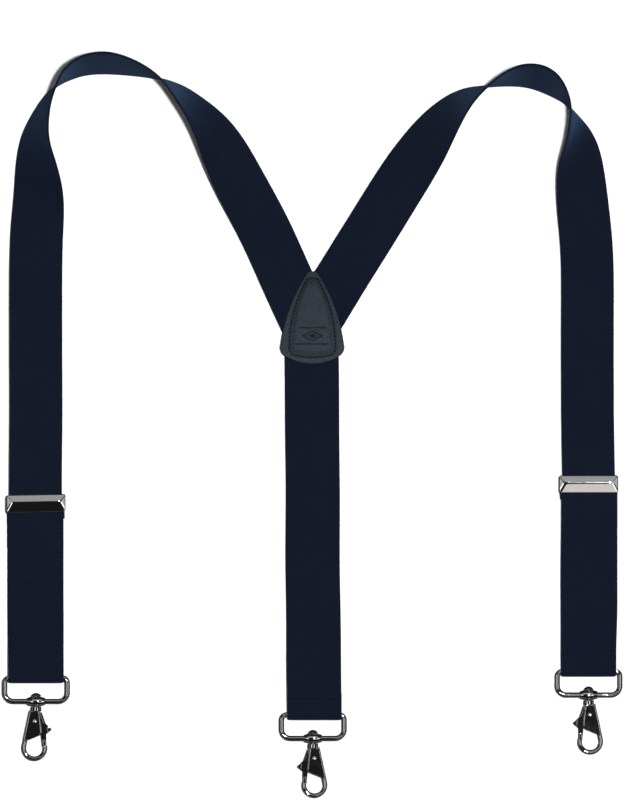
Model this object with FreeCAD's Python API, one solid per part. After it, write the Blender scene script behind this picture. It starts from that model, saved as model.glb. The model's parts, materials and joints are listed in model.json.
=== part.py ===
import FreeCAD, Part
import math
import os

from FreeCAD import Vector

# Suspenders laid flat on their back on a table: millimetres, +Z up from the table, +Y towards
# the shoulders, X to the right. The origin is the bottom centre of the whole object's box.

# Elastic webbing: nominal 38 mm (1.5 inch).
STRAP_WIDTH = 37.5
STRAP_THICK = 1.8

# Levels above the table, where a strap is folded round the wire of a clip's loop.
WIRE_RADIUS = 1.8
FOLD_GAP = 3.8  # between the two layers, 0.1 mm clear of the wire on each side
REAR_LOW = 0.1
REAR_HIGH = REAR_LOW + STRAP_THICK
FRONT_LOW = REAR_HIGH + FOLD_GAP
FRONT_HIGH = FRONT_LOW + STRAP_THICK
WIRE_LEVEL = (REAR_HIGH + FRONT_LOW) / 2
FRONT_MIDDLE = (FRONT_LOW + FRONT_HIGH) / 2

# Stack of layers inside the leather patch.
LEATHER = 1.4
BACK_STRAP_LOW = LEATHER
SHOULDER_LOW = BACK_STRAP_LOW + STRAP_THICK + 0.05
SHOULDER_MIDDLE = SHOULDER_LOW + STRAP_THICK / 2
PATCH_LOW = SHOULDER_LOW + STRAP_THICK + 0.15
PAD_THICK = 1.2

# Where the straps and their hardware lie. Each front strap: centre X, wire Y, slide Y.
LEFT_X, LEFT_WIRE_Y, LEFT_SLIDE_Y = -191.4, -175.3, -54.5
RIGHT_X, RIGHT_WIRE_Y, RIGHT_SLIDE_Y = 191.4, -170.8, -41.2
BACK_X, BACK_WIRE_Y = 0.4, -200.9
FLAT_TOP_Y = 86.4  # a front strap is flat and straight from here down to its fold
SPLIT_Y = -78.0  # below this the front layer gets longer and shorter as the slide moves
FOLD_LENGTH = 12.0  # of both layers above the wire, in the piece that travels with the loop

# The shoulder loops, followed clockwise: the strap stands up on its outer edge as it turns.
# Each row: X and Y of the strap's middle, height of its outer edge, roll in degrees.
LEFT_ROUTE = [
    (LEFT_X, FLAT_TOP_Y, FRONT_MIDDLE, 0),
    (-190.6, 135.0, 4.6, 2),
    (-189.6, 160.6, 2.6, 20),
    (-190.9, 180.0, 1.4, 39),
    (-191.2, 196.6, 1.0, 55),
    (-188.3, 211.5, 1.0, 69),
    (-183.2, 225.0, 1.0, 80),
    (-177.2, 234.6, 1.0, 90),
    (-169.8, 242.4, 1.0, 102),
    (-159.8, 248.0, 1.0, 110),
    (-145.7, 250.4, 1.0, 114),
    (-127.3, 247.9, 1.0, 108),
    (-105.2, 239.4, 1.0, 90),
    (-92.7, 230.3, 1.0, 74),
    (-81.4, 219.0, 1.0, 61),
    (-70.0, 204.2, 1.2, 44),
    (-60.8, 188.3, 1.6, 27),
    (-50.0, 167.0, 2.3, 12),
    (-34.9, 138.4, 3.5, 2),
    (-17.0, 99.4, SHOULDER_MIDDLE, 0),
    (-0.5, 63.6, SHOULDER_MIDDLE, 0),
]
RIGHT_ROUTE = [
    (-0.5, 67.6, SHOULDER_MIDDLE, 0),
    (18.4, 98.6, SHOULDER_MIDDLE, 0),
    (43.6, 139.1, 3.5, 1),
    (64.0, 171.8, 2.4, 10),
    (78.4, 193.3, 1.6, 27),
    (87.4, 206.0, 1.2, 41),
    (97.2, 217.5, 1.0, 55),
    (107.8, 226.6, 1.0, 70),
    (121.8, 234.4, 1.0, 90),
    (134.6, 239.6, 1.0, 105),
    (149.4, 241.6, 1.0, 116),
    (163.6, 237.2, 1.0, 116),
    (172.6, 229.4, 1.0, 104),
    (178.4, 219.6, 1.0, 90),
    (181.8, 208.0, 1.0, 73),
    (184.0, 195.4, 1.0, 53),
    (185.4, 179.4, 1.4, 31),
    (187.2, 154.0, 2.8, 11),
    (189.9, 124.0, 4.8, 1),
    (RIGHT_X, FLAT_TOP_Y, FRONT_MIDDLE, 0),
]
MIDLINE_GAP = 0.3  # between the two shoulder straps' ends under the patch

# Back strap: rises from the patch to the level of the wire, and its tail is sewn under it.
BACK_TOP_Y = 86.0
BACK_RISE_LOW_Y, BACK_RISE_HIGH_Y = -186.0, -110.0
TAIL_SLOPE = 6.0
TAIL_END_Y = -186.5

# Leather patch: a teardrop, half its outline from the top point to the bottom middle.
PATCH_TOP_Y, PATCH_BOTTOM_Y = 106.2, 42.1
PATCH_TIP = (4.9, 103.0)
PATCH_SIDE_VIA = (15.3, 82.0)
PATCH_WIDEST = (21.9, 56.0)
PATCH_CORNER_VIA = (21.7, 51.0)
PATCH_CORNER = (18.6, 47.4)
# Its seam, likewise: a slimmer teardrop with a flat top.
SEAM_TOP = (3.4, 101.2)
SEAM_SIDE_VIA = (11.2, 84.0)
SEAM_WIDEST = (16.0, 55.0)
SEAM_CORNER_VIA = (15.6, 50.8)
SEAM_CORNER = (12.4, 48.2)
SEAM_BOTTOM_Y = 46.6
RAISED_INSET = 1.3  # from the seam to the foot of the raised panel

# Stitches: short lengths of thread with a gap after each.
THREAD_RADIUS = 0.3
STITCH_LENGTH = 1.7
STITCH_PITCH = 2.6

# Loop of a clip: a rounded rectangle of wire with a barrel on its lower bar for the swivel.
LOOP_WIDTH = 43.4  # between the middles of the side wires
LOOP_HEIGHT = 16.4
LOOP_TOP_CORNER, LOOP_LOW_CORNER = 3.6, 6.2
BARREL_HALF, BARREL_RADIUS, BARREL_END_RADIUS = 6.2, 3.6, 2.4
SWIVEL_RADIUS = 1.3
RUNNING_FIT = 0.05
END_PLAY = 0.1

# Swivel pin's peened head, inside the loop, and the hook's collar, below the barrel.
HEAD_RADIUS, HEAD_HEIGHT = 3.6, 2.2
COLLAR_RADIUS, COLLAR_HEIGHT = 3.65, 2.3
SWIVEL_DEPTH = 9.0

# Hook: X from the swivel axis, and distance down from the middle of the loop's lower bar.
CHEEK_THICK = 5.2
HOOK_TOP = 6.2
HOOK_TOP_LEFT, HOOK_TOP_RIGHT = -2.2, 4.7
BEND_CENTRE, BEND_RADIUS = (1.1, 32.3), 7.35  # of the bar's middle line
BAR_HALF_WIDTH, BAR_HALF_THICK = 1.6, 1.8
NOSE_ANGLE = 13.0  # how far the nose rises past the bend's left side, in degrees
LIMB_TOP_X = HOOK_TOP_RIGHT - 1.5
LIMB_LENGTH = 16.0
PIVOT = (1.0, 14.0)
GATE_REACH = 18.2  # from the pivot to the gate's end
NOSE_GAP = 0.3
GATE_THICK, SLOT_THICK = 2.2, 2.5
SLOT_TOP, SLOT_LOW, SLOT_RIGHT = 9.6, 27.6, 4.8
GATE_BAR_THICK, GATE_NUB_THICK, GATE_BACK_THICK = 3.2, 3.8, 4.4
HUB_RADIUS, HUB_THICK = 3.3, 1.0
PIVOT_RADIUS, RIVET_RADIUS, RIVET_DOME = 1.2, 2.15, 0.7
SPRING_WIRE, SPRING_RADIUS = 0.25, 1.75

# Slide (strap adjuster).
CHEEK_INNER = STRAP_WIDTH / 2 + 0.25
CHEEK_PLATE = 0.8
COVER_CLEAR = 0.05
COVER_WALL = 0.6
COVER_HEIGHT, COVER_DEPTH = 12.4, 3.3
COVER_ROUND = 2.8
COVER_LOW = FRONT_HIGH + 0.35
FRONT_BAR_THICK, FRONT_BAR_HALF = 0.9, 4.6
REAR_BAR_DROP = 8.5  # the rear bar is this far below the cover's middle
REAR_BAR_HALF, REAR_BAR_LOW, REAR_BAR_THICK = 1.15, 1.95, 1.2
CHEEK_UP, CHEEK_DOWN = 4.8, 10.6
CHEEK_NECK_HALF = 3.6  # where a cheek passes into the cover
CHEEK_LOW = 0.05
GRIP_LOW_Y, GRIP_HIGH_Y = 0.4, 3.8
GRIP_BASE, GRIP_TOP, TOOTH_TIP = 3.2, 5.0, 5.55
TOOTH_COUNT = 12
END_WRAP_ROUND = 1.0  # the sewn end's round starts this far above the rear bar's middle
END_FLAP_LENGTH, END_SLOPE_START, END_SLOPE_END = 22.0, 3.0, 8.0
END_LENGTH = 24.0


def save(name, shape):
    shape.exportStep("parts/" + name + ".step")


def extruded(wire, low, high):
    """A flat wire drawn at Z 0, as a solid from low to high."""
    solid = Part.Face(wire).extrude(Vector(0, 0, high - low))
    solid.translate(Vector(0, 0, low))
    return solid


def across_strap(points, x):
    """A strap's solid from its section, a closed list of (Y, Z) corners or arcs, centred on x.

    A corner is (y, z). An arc from the last corner is (via_y, via_z, y, z).
    """
    start = x - STRAP_WIDTH / 2
    edges = []
    last = Vector(start, *points[0])
    for point in points[1:] + points[:1]:
        here = Vector(start, *point[-2:])
        if len(point) == 4:
            edges.append(Part.Arc(last, Vector(start, *point[:2]), here).toShape())
        else:
            edges.append(Part.makeLine(last, here))
        last = here
    return Part.Face(Part.Wire(edges)).extrude(Vector(STRAP_WIDTH, 0, 0))


def band(x, low_y, high_y, low_z):
    """A flat length of strap."""
    corner = Vector(x - STRAP_WIDTH / 2, low_y, low_z)
    return Part.makeBox(STRAP_WIDTH, high_y - low_y, STRAP_THICK, corner)


def spline(points, spacing, start, end):
    curve = Part.BSplineCurve()
    curve.interpolate(Points=points, Parameters=spacing, InitialTangent=start, FinalTangent=end)
    return curve


def ribbon(route, start, end):
    """A strap along a route of (x, y, outer edge's height, roll), with its end directions."""
    middles = []
    for x, y, height, roll in route:
        rise = STRAP_WIDTH / 2 * math.sin(math.radians(roll))
        middles.append(Vector(x, y, height + rise))
    spacing = [0.0]
    for last, here in zip(middles, middles[1:]):
        spacing.append(spacing[-1] + (here - last).Length)
    centre = spline(middles, spacing, start, end)
    corners = [[], [], [], []]
    for middle, at, (_, _, _, roll) in zip(middles, spacing, route):
        along = Vector(*centre.tangent(at)[0])
        right = along.cross(Vector(0, 0, 1)).normalize()
        roll = math.radians(roll)
        across = right * math.cos(roll) + Vector(0, 0, math.sin(roll))
        across = (across - along * across.dot(along)).normalize()
        face = across.cross(along)
        for corner, (side, up) in zip(corners, ((-1, -1), (1, -1), (1, 1), (-1, 1))):
            corner.append(middle + across * side * STRAP_WIDTH / 2 + face * up * STRAP_THICK / 2)
    edges = [spline(corner, spacing, start, end).toShape() for corner in corners]
    same_way = 1
    faces = [Part.makeRuledSurface(edges[i], edges[(i + 1) % 4], same_way) for i in range(4)]
    for end_index in (0, -1):
        loop = [corner[end_index] for corner in corners]
        faces.append(Part.Face(Part.makePolygon(loop + loop[:1])))
    shell = Part.Shell(faces)
    shell.sewShape()
    solid = Part.Solid(shell)
    if solid.Volume < 0:
        solid.reverse()
    print("shoulder loop", round(centre.length()), "mm long, volume", round(solid.Volume))
    return solid


def front_straps():
    """Both front straps: the shoulder loop, then the flat stretch down to the split."""
    big = 400.0
    up = Vector(0, 1, 0)
    left_end = Vector(0.42, -0.907, 0).normalize()
    right_start = Vector(0.528, 0.849, 0).normalize()
    left = ribbon(LEFT_ROUTE, up, left_end)
    right = ribbon(RIGHT_ROUTE, right_start, -up)
    keep_left = Part.makeBox(big, 2 * big, big, Vector(-big - MIDLINE_GAP / 2, -big, -1))
    keep_right = Part.makeBox(big, 2 * big, big, Vector(MIDLINE_GAP / 2, -big, -1))
    for name, loop, keep, x in (
        ("left", left, keep_left, LEFT_X),
        ("right", right, keep_right, RIGHT_X),
    ):
        flat = band(x, SPLIT_Y, FLAT_TOP_Y, FRONT_LOW)
        save(name + "_front_strap", loop.common(keep).fuse(flat).removeSplitter())


def folded_strap(name, x, wire_y, slide_y):
    """The doubled lower end of a front strap, in the pieces that move apart."""
    top = wire_y + FOLD_LENGTH
    outer = FOLD_GAP / 2 + STRAP_THICK
    end_y = slide_y - REAR_BAR_DROP - END_LENGTH
    save(name + "_front_layer", band(x, top, SPLIT_Y, FRONT_LOW))
    save(name + "_return_layer", band(x, top, end_y, REAR_LOW))
    fold = across_strap(
        [
            (top, FRONT_HIGH),
            (wire_y, FRONT_HIGH),
            (wire_y - outer, WIRE_LEVEL, wire_y, REAR_LOW),
            (top, REAR_LOW),
            (top, REAR_HIGH),
            (wire_y, REAR_HIGH),
            (wire_y - FOLD_GAP / 2, WIRE_LEVEL, wire_y, FRONT_LOW),
            (top, FRONT_LOW),
        ],
        x,
    )
    save(name + "_strap_fold", fold)


def back_strap():
    outer = FOLD_GAP / 2 + STRAP_THICK
    tail_high = FRONT_LOW - 0.05
    tail_low = tail_high - STRAP_THICK
    slope_end = BACK_WIRE_Y + 1.5 + TAIL_SLOPE
    strap = across_strap(
        [
            (BACK_TOP_Y, SHOULDER_LOW),
            (BACK_RISE_HIGH_Y, SHOULDER_LOW),
            (BACK_RISE_LOW_Y, FRONT_HIGH),
            (BACK_WIRE_Y, FRONT_HIGH),
            (BACK_WIRE_Y - outer, WIRE_LEVEL, BACK_WIRE_Y, REAR_LOW),
            (BACK_WIRE_Y + 1.5, REAR_LOW),
            (slope_end, tail_low),
            (TAIL_END_Y, tail_low),
            (TAIL_END_Y, tail_high),
            (slope_end, tail_high),
            (BACK_WIRE_Y + 1.5, REAR_HIGH),
            (BACK_WIRE_Y, REAR_HIGH),
            (BACK_WIRE_Y - FOLD_GAP / 2, WIRE_LEVEL, BACK_WIRE_Y, FRONT_LOW),
            (BACK_RISE_LOW_Y, FRONT_LOW),
            (BACK_RISE_HIGH_Y, BACK_STRAP_LOW),
            (BACK_TOP_Y, BACK_STRAP_LOW),
        ],
        BACK_X,
    )
    save("back_strap", strap)
    seam_y = (slope_end + TAIL_END_Y) / 2
    seam = stitch_row(BACK_X, seam_y, FRONT_HIGH + THREAD_RADIUS)
    save("back_strap_stitching", seam)


def stitch_row(x, y, z):
    """A row of stitches straight across a strap."""
    count = int((STRAP_WIDTH - 3) / STITCH_PITCH)
    first = x - (count * STITCH_PITCH - (STITCH_PITCH - STITCH_LENGTH)) / 2
    stitches = []
    for i in range(count):
        start = Vector(first + i * STITCH_PITCH, y, z)
        stitches.append(Part.makeCylinder(THREAD_RADIUS, STITCH_LENGTH, start, Vector(1, 0, 0)))
    return Part.makeCompound(stitches)


def teardrop(top, side_via, widest, corner_via, corner, bottom_y, top_via=None):
    """A closed outline at Z 0, the same on both sides. Its top is flat unless top_via is given."""

    def arc(*points):
        return Part.Arc(*[Vector(px, py, 0) for px, py in points]).toShape()

    right = [arc(top, side_via, widest), arc(widest, corner_via, corner)]
    left = [edge.mirror(Vector(0, 0, 0), Vector(1, 0, 0)) for edge in right]
    far_top = (-top[0], top[1])
    if top_via:
        tip = arc(far_top, top_via, top)
    else:
        tip = Part.makeLine(Vector(*far_top, 0), Vector(*top, 0))
    bottom = arc(corner, (0, bottom_y), (-corner[0], corner[1]))
    return Part.Wire(Part.__sortEdges__(right + left + [tip, bottom]))


def patch():
    outline = teardrop(
        PATCH_TIP,
        PATCH_SIDE_VIA,
        PATCH_WIDEST,
        PATCH_CORNER_VIA,
        PATCH_CORNER,
        PATCH_BOTTOM_Y,
        (0, PATCH_TOP_Y),
    )
    seam = teardrop(
        SEAM_TOP, SEAM_SIDE_VIA, SEAM_WIDEST, SEAM_CORNER_VIA, SEAM_CORNER, SEAM_BOTTOM_Y
    )
    save("patch_backing", extruded(outline, 0, LEATHER))
    raised = seam.makeOffset2D(-RAISED_INSET)
    panel = seam.makeOffset2D(-RAISED_INSET - LEATHER)
    pad = extruded(panel, PATCH_LOW, PATCH_LOW + PAD_THICK)
    save("patch_pad", pad)
    front = extruded(outline, PATCH_LOW, PATCH_LOW + LEATHER)
    front = front.fuse(extruded(raised, PATCH_LOW, PATCH_LOW + PAD_THICK + LEATHER)).cut(pad)
    save("patch_front", front.removeSplitter())
    level = PATCH_LOW + LEATHER + THREAD_RADIUS
    count = round(seam.Length / STITCH_PITCH)
    points = seam.discretize(Number=count + 1)
    stitches = []
    for here, there in zip(points, points[1:]):
        along = (there - here).normalize()
        start = Vector(here.x, here.y, level)
        stitches.append(Part.makeCylinder(THREAD_RADIUS, STITCH_LENGTH, start, along))
    save("patch_stitching", Part.makeCompound(stitches))


def slide(name, x, y):
    """A strap adjuster at (x, y) and the strap's end sewn round its rear bar."""
    across = Vector(1, 0, 0)
    outer_x = CHEEK_INNER + CHEEK_PLATE
    bar_y = y - REAR_BAR_DROP

    def block(half_x, low_y, high_y, low_z, high_z):
        corner = Vector(x - half_x, low_y, low_z)
        return Part.makeBox(2 * half_x, high_y - low_y, high_z - low_z, corner)

    def pillow(half_x, half_y, high_z, rounding):
        box = block(half_x, y - half_y, y + half_y, COVER_LOW, high_z)
        top = [e for e in box.Edges if e.BoundBox.ZMin > high_z - 0.01]
        ends = [e for e in box.Edges if e.BoundBox.ZLength > 1]
        return box.makeFillet(rounding, top + ends)

    cover_x = outer_x + COVER_CLEAR + COVER_WALL
    top = COVER_LOW + COVER_DEPTH
    shell = pillow(cover_x, COVER_HEIGHT / 2, top, COVER_ROUND)
    hollow = pillow(
        cover_x - COVER_WALL,
        COVER_HEIGHT / 2 - COVER_WALL,
        top - COVER_WALL,
        COVER_ROUND - COVER_WALL,
    )
    save(name + "_slide_cover", shell.cut(hollow))

    bar_top = COVER_LOW + FRONT_BAR_THICK
    cheek_outline = [
        Vector(x - outer_x, y + CHEEK_NECK_HALF, bar_top),
        Vector(x - outer_x, y + CHEEK_NECK_HALF, COVER_LOW - 0.1),
        Vector(x - outer_x, y + CHEEK_UP, COVER_LOW - 1.4),
        Vector(x - outer_x, y + CHEEK_UP, CHEEK_LOW + 2),
        Vector(x - outer_x, y + CHEEK_UP - 2, CHEEK_LOW),
        Vector(x - outer_x, y - CHEEK_DOWN + 1.5, CHEEK_LOW),
        Vector(x - outer_x, y - CHEEK_DOWN, CHEEK_LOW + 1.5),
        Vector(x - outer_x, y - CHEEK_DOWN, CHEEK_LOW + 3.5),
        Vector(x - outer_x, y - CHEEK_NECK_HALF, COVER_LOW - 0.1),
        Vector(x - outer_x, y - CHEEK_NECK_HALF, bar_top),
    ]
    cheek = Part.Face(Part.makePolygon(cheek_outline + cheek_outline[:1]))
    near = cheek.extrude(across * CHEEK_PLATE)
    far = near.copy()
    far.translate(across * (outer_x + CHEEK_INNER))
    front_bar = block(
        CHEEK_INNER, y - FRONT_BAR_HALF, y + FRONT_BAR_HALF, COVER_LOW, bar_top
    )
    rear_bar = block(
        CHEEK_INNER,
        bar_y - REAR_BAR_HALF,
        bar_y + REAR_BAR_HALF,
        REAR_BAR_LOW,
        REAR_BAR_LOW + REAR_BAR_THICK,
    )
    save(name + "_slide_frame", near.fuse([far, front_bar, rear_bar]).removeSplitter())

    grip = block(CHEEK_INNER, y + GRIP_LOW_Y, y + GRIP_HIGH_Y, GRIP_BASE, GRIP_TOP)
    pitch = (STRAP_WIDTH - 4) / TOOTH_COUNT
    for i in range(TOOTH_COUNT):
        left = x + (i - TOOTH_COUNT / 2) * pitch
        tooth = [
            Vector(left + 0.3, y + GRIP_LOW_Y, GRIP_TOP),
            Vector(left + pitch - 0.3, y + GRIP_LOW_Y, GRIP_TOP),
            Vector(left + pitch / 2, y + GRIP_LOW_Y, TOOTH_TIP),
        ]
        face = Part.Face(Part.makePolygon(tooth + tooth[:1]))
        grip = grip.fuse(face.extrude(Vector(0, GRIP_HIGH_Y - GRIP_LOW_Y, 0)))
    save(name + "_grip_bar", grip.removeSplitter())

    round_y = bar_y + END_WRAP_ROUND
    inner = REAR_BAR_THICK / 2 + COVER_CLEAR
    flap_low = REAR_HIGH + 2 * inner
    middle = REAR_HIGH + inner
    rest_low = REAR_HIGH + COVER_CLEAR
    end = across_strap(
        [
            (bar_y - END_LENGTH, REAR_LOW),
            (round_y, REAR_LOW),
            (round_y + inner + STRAP_THICK, middle, round_y, flap_low + STRAP_THICK),
            (bar_y - END_SLOPE_START, flap_low + STRAP_THICK),
            (bar_y - END_SLOPE_END, rest_low + STRAP_THICK),
            (bar_y - END_FLAP_LENGTH, rest_low + STRAP_THICK),
            (bar_y - END_FLAP_LENGTH, rest_low),
            (bar_y - END_SLOPE_END, rest_low),
            (bar_y - END_SLOPE_START, flap_low),
            (round_y, flap_low),
            (round_y + inner, middle, round_y, REAR_HIGH),
            (bar_y - END_LENGTH, REAR_HIGH),
        ],
        x,
    )
    save(name + "_strap_end", end)
    seam_y = bar_y - (END_SLOPE_END + END_FLAP_LENGTH) / 2
    seam = stitch_row(x, seam_y, rest_low + STRAP_THICK + THREAD_RADIUS)
    save(name + "_end_stitching", seam)


def hook_point(x, down):
    """A point of a clip's flat outline, measured from the middle of the loop's lower bar."""
    return Vector(x, -LOOP_HEIGHT - down, 0)


def hook_wire(points):
    """A closed outline of hook points. A point (via_x, via_down, x, down) ends an arc."""
    edges = []
    last = hook_point(*points[0])
    for point in points[1:] + points[:1]:
        here = hook_point(*point[-2:])
        if len(point) == 4:
            edges.append(Part.Arc(last, hook_point(*point[:2]), here).toShape())
        else:
            edges.append(Part.makeLine(last, here))
        last = here
    return Part.Wire(edges)


def plate(points, thickness, rounding=0.0):
    """A hook outline as a plate centred on the hook's middle plane, with rounded edges."""
    solid = extruded(hook_wire(points), -thickness / 2, thickness / 2)
    if rounding:
        rims = [e for e in solid.Edges if e.BoundBox.ZLength < 0.01]
        solid = solid.makeFillet(rounding, rims)
    return solid


def dome(radius, height, base, direction):
    """A shallow cap of a sphere standing on a base point."""
    ball = (radius * radius + height * height) / (2 * height)
    centre = base - direction * (ball - height)
    cap = Part.makeSphere(ball, centre)
    keep = Part.makeCylinder(radius * 1.01, height, base, direction)
    return cap.common(keep)


def loop():
    """A clip's loop, hinged on its upper bar at the origin, with its swivel barrel below."""
    half = LOOP_WIDTH / 2
    low = -LOOP_HEIGHT

    def corner(cx, cy, radius, start_deg):
        points = []
        for turn in (0, 45, 90):
            angle = math.radians(start_deg + turn)
            points.append(Vector(cx + radius * math.cos(angle), cy + radius * math.sin(angle), 0))
        return Part.Arc(*points).toShape()

    top, bottom = LOOP_TOP_CORNER, LOOP_LOW_CORNER
    corners = [
        corner(half - top, -top, top, 0),
        corner(-half + top, -top, top, 90),
        corner(-half + bottom, low + bottom, bottom, 180),
        corner(half - bottom, low + bottom, bottom, 270),
    ]
    edges = []
    for here, there in zip(corners, corners[1:] + corners[:1]):
        edges.append(here)
        edges.append(Part.makeLine(here.Vertexes[-1].Point, there.Vertexes[0].Point))
    section = Part.makeCircle(WIRE_RADIUS, corners[0].Vertexes[0].Point, Vector(0, 1, 0))
    ring = Part.Wire(edges).makePipeShell([Part.Wire(section)], True, True)
    near = Vector(-BARREL_HALF, BARREL_END_RADIUS, 0)
    far = Vector(BARREL_HALF, BARREL_END_RADIUS, 0)
    barrel = Part.Arc(near, Vector(0, BARREL_RADIUS, 0), far).toShape()
    axis_ends = [Vector(BARREL_HALF, 0, 0), Vector(-BARREL_HALF, 0, 0)]
    base = Part.makePolygon([far, *axis_ends, near])
    spindle = Part.Face(Part.Wire([barrel] + base.Edges))
    spindle = spindle.revolve(Vector(0, 0, 0), Vector(1, 0, 0), 360)
    spindle.translate(Vector(0, low, 0))
    under = Vector(0, low - 2 * BARREL_RADIUS, 0)
    bore = SWIVEL_RADIUS + RUNNING_FIT
    hole = Part.makeCylinder(bore, 4 * BARREL_RADIUS, under, Vector(0, 1, 0))
    return ring.fuse(spindle).cut(hole).removeSplitter()


def swivel_pin():
    """The pin through the barrel, peened over inside the loop and fast in the hook's neck."""
    up = Vector(0, 1, 0)
    seat = hook_point(0, -BARREL_RADIUS - END_PLAY)
    length = BARREL_RADIUS + END_PLAY + SWIVEL_DEPTH
    shank = Part.makeCylinder(SWIVEL_RADIUS, length, hook_point(0, SWIVEL_DEPTH), up)
    return shank.fuse(dome(HEAD_RADIUS, HEAD_HEIGHT, seat, up)).removeSplitter()


def on_circle(x, radius):
    """The hook point on a circle about the gate's pivot, below it, at this x."""
    return (x, PIVOT[1] + math.sqrt(radius * radius - (x - PIVOT[0]) ** 2))


def hook_bar():
    """The round bar of the hook's eye: from the nose round the bend and up the right limb."""
    bend = hook_point(*BEND_CENTRE)
    nose_turn = math.radians(180 - NOSE_ANGLE)
    outward = Vector(math.cos(nose_turn), math.sin(nose_turn), 0)
    nose = bend + outward * BEND_RADIUS
    above = hook_point(LIMB_TOP_X, HOOK_TOP) - bend
    tangent_turn = math.atan2(above.y, above.x) - math.acos(BEND_RADIUS / above.Length)
    tangent = bend + Vector(math.cos(tangent_turn), math.sin(tangent_turn), 0) * BEND_RADIUS
    lowest = bend - Vector(0, BEND_RADIUS, 0)
    limb = (bend + above - tangent).normalize() * LIMB_LENGTH
    path = Part.Wire(
        [Part.Arc(nose, lowest, tangent).toShape(), Part.makeLine(tangent, tangent + limb)]
    )
    section = Part.Ellipse(
        nose + Vector(0, 0, BAR_HALF_THICK), nose + outward * BAR_HALF_WIDTH, nose
    )
    bar = path.makePipeShell([Part.Wire(section.toShape())], True, True)
    depth = Vector(0, 0, CHEEK_THICK)
    swept = Part.makeCylinder(
        GATE_REACH + NOSE_GAP, 2 * CHEEK_THICK, hook_point(*PIVOT) - depth
    )
    left_of_eye = Part.makeBox(20, 30, 2 * CHEEK_THICK, hook_point(-22, 40) - depth)
    return bar.cut(swept.common(left_of_eye))


def hook_body():
    """The cast hook: collar, slotted cheeks for the gate, and the bar down to the nose."""
    cheeks = [
        (HOOK_TOP_LEFT, HOOK_TOP),
        (HOOK_TOP_RIGHT, HOOK_TOP),
        (9.0, 26.5),
        (7.6, 28.2),
        (5.2, 26.8),
        (-2.6, 23.6),
        (-4.0, 21.8),
        (-3.2, 13.5),
    ]
    body = plate(cheeks, CHEEK_THICK, 1.0).fuse(hook_bar())
    collar_top = -LOOP_HEIGHT - BARREL_RADIUS - END_PLAY
    collar = Part.makeCylinder(
        COLLAR_RADIUS,
        COLLAR_HEIGHT + 1,
        Vector(0, collar_top - COLLAR_HEIGHT - 1, 0),
        Vector(0, 1, 0),
    )
    rims = [e for e in collar.Edges if e.BoundBox.YLength < 0.01]
    body = body.fuse(collar.makeFillet(0.6, rims))
    slot = Part.makeBox(
        SLOT_RIGHT + 12, SLOT_LOW - SLOT_TOP, SLOT_THICK, hook_point(-12, SLOT_LOW)
    )
    slot.translate(Vector(0, 0, -SLOT_THICK / 2))
    pin_hole = Part.makeCylinder(
        SWIVEL_RADIUS, SWIVEL_DEPTH, hook_point(0, SWIVEL_DEPTH), Vector(0, 1, 0)
    )
    pivot_hole = Part.makeCylinder(
        PIVOT_RADIUS, 2 * CHEEK_THICK, hook_point(*PIVOT) - Vector(0, 0, CHEEK_THICK)
    )
    return body.cut([slot, pin_hole, pivot_hole]).removeSplitter()


def gate():
    """The gate: a lever on the rivet, with a thumb nub and a bar that closes the eye."""
    out_x, in_x = -7.2, -4.4
    end_out = on_circle(out_x, GATE_REACH)
    end_in = on_circle(in_x, GATE_REACH)
    end_via = on_circle((out_x + in_x) / 2, GATE_REACH)
    lever = [
        (PIVOT[0] - 2.0, PIVOT[1] - 2.6),
        (-2.9, 10.4),
        (-2.8, 7.5),
        (-3.9, 7.5),
        (-6.7, 15.4),
        (-9.9, 18.4),
        (-10.7, 19.3, -10.3, 20.2),
        (-7.0, 22.8),
        end_out,
        (*end_via, *end_in),
        (-3.6, 23.6),
        (PIVOT[0], PIVOT[1] + 3.2),
    ]
    back = [(-3.9, 7.5), (-2.8, 7.5), (-3.2, 11.0), (-5.2, 15.2), (-6.7, 15.4)]
    nub = [(-7.4, 16.1), (-9.9, 18.4), (-10.7, 19.3, -10.3, 20.2), (-7.9, 22.0)]
    bar = [(-7.1, 26.2), end_out, (*end_via, *end_in), (-4.0, 26.2)]
    pivot = hook_point(*PIVOT)
    down = Vector(0, 0, -GATE_THICK / 2)
    hub = Part.makeCylinder(HUB_RADIUS, HUB_THICK, pivot + down)
    relief = Part.makeCylinder(HUB_RADIUS + 0.1, GATE_THICK, pivot + down + Vector(0, 0, HUB_THICK))
    bore = Part.makeCylinder(PIVOT_RADIUS + RUNNING_FIT, 2 * GATE_THICK, pivot + down * 2)
    body = plate(lever, GATE_THICK).cut(relief).fuse(hub)
    thick = [
        plate(back, GATE_BACK_THICK, 0.45),
        plate(nub, GATE_NUB_THICK, 0.6),
        plate(bar, GATE_BAR_THICK, 0.9),
    ]
    body = body.fuse(thick)
    return body.cut(bore).removeSplitter()


def gate_pin():
    """The rivet that the gate turns on, with a domed head on each side."""
    pivot = hook_point(*PIVOT)
    up = Vector(0, 0, 1)
    half = CHEEK_THICK / 2
    shank = Part.makeCylinder(PIVOT_RADIUS, CHEEK_THICK, pivot - up * half)
    heads = [dome(RIVET_RADIUS, RIVET_DOME, pivot + up * side * half, up * side) for side in (1, -1)]
    return shank.fuse(heads).removeSplitter()


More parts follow.
